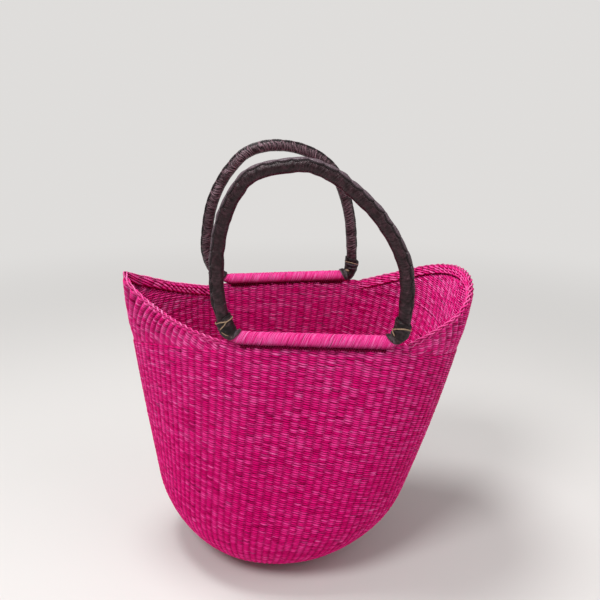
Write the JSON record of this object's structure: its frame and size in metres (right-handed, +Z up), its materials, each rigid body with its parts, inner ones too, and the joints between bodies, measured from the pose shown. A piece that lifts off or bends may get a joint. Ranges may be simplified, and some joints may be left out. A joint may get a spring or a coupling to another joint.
{
  "type": "woven basket",
  "caption": "Twined grass shopper with a rounded base, a teardrop mouth, two raised wings and a pair of leather-covered hoop handles that tilt on their lashed bars.",
  "frame": {"origin": "centre of the base's flat patch, on the surface that the basket stands on", "axes": "+Z up; +X along the mouth, from its pinched end to its round end; -Y the front"},
  "size_m": [0.4463, 0.3109, 0.5395],
  "materials": {
    "pink_grass": "dyed twined grass, satin strands with dark valleys between the stakes",
    "bright_grass": "dyed grass, paler and finer strands, satin",
    "straw": "undyed straw bundle, matt",
    "brown_leather": "dark purplish brown goatskin, finely wrinkled, semi-gloss",
    "dark_leather": "near-black leather with folds, satin",
    "dark_thread": "waxed thread, matt",
    "tan_thread": "plain tan thread, matt"
  },
  "bodies": {
    "basket": {"woven_body": "pink_grass", "left_wing": "pink_grass", "right_wing": "pink_grass", "left_rim_border": "bright_grass", "right_rim_border": "bright_grass", "front_bar_lashing": "pink_grass", "rear_bar_lashing": "pink_grass"},
    "front_handle": {"front_handle_core": "straw", "front_bar_winding": "bright_grass", "front_handle_sleeve": "brown_leather", "front_seam_thread": "dark_thread", "front_left_foot_wrap": "dark_leather", "front_left_foot_binding": "tan_thread", "front_right_foot_wrap": "dark_leather", "front_right_foot_binding": "tan_thread"},
    "rear_handle": {"rear_handle_core": "straw", "rear_bar_winding": "bright_grass", "rear_handle_sleeve": "brown_leather", "rear_seam_thread": "dark_thread", "rear_left_foot_wrap": "dark_leather", "rear_left_foot_binding": "tan_thread", "rear_right_foot_wrap": "dark_leather", "rear_right_foot_binding": "tan_thread"}
  },
  "joints": [
    {"name": "front_handle_tilt", "type": "hinge", "parent": "basket", "child": "front_handle", "pos_m": [0.051, -0.132, 0.336], "axis": [0.9962, -0.0872, 0], "range_deg": [-35, 25]},
    {"name": "rear_handle_tilt", "type": "hinge", "parent": "basket", "child": "rear_handle", "pos_m": [0.017, 0.133, 0.336], "axis": [0.9932, 0.1167, 0], "range_deg": [-25, 35]}
  ]
}
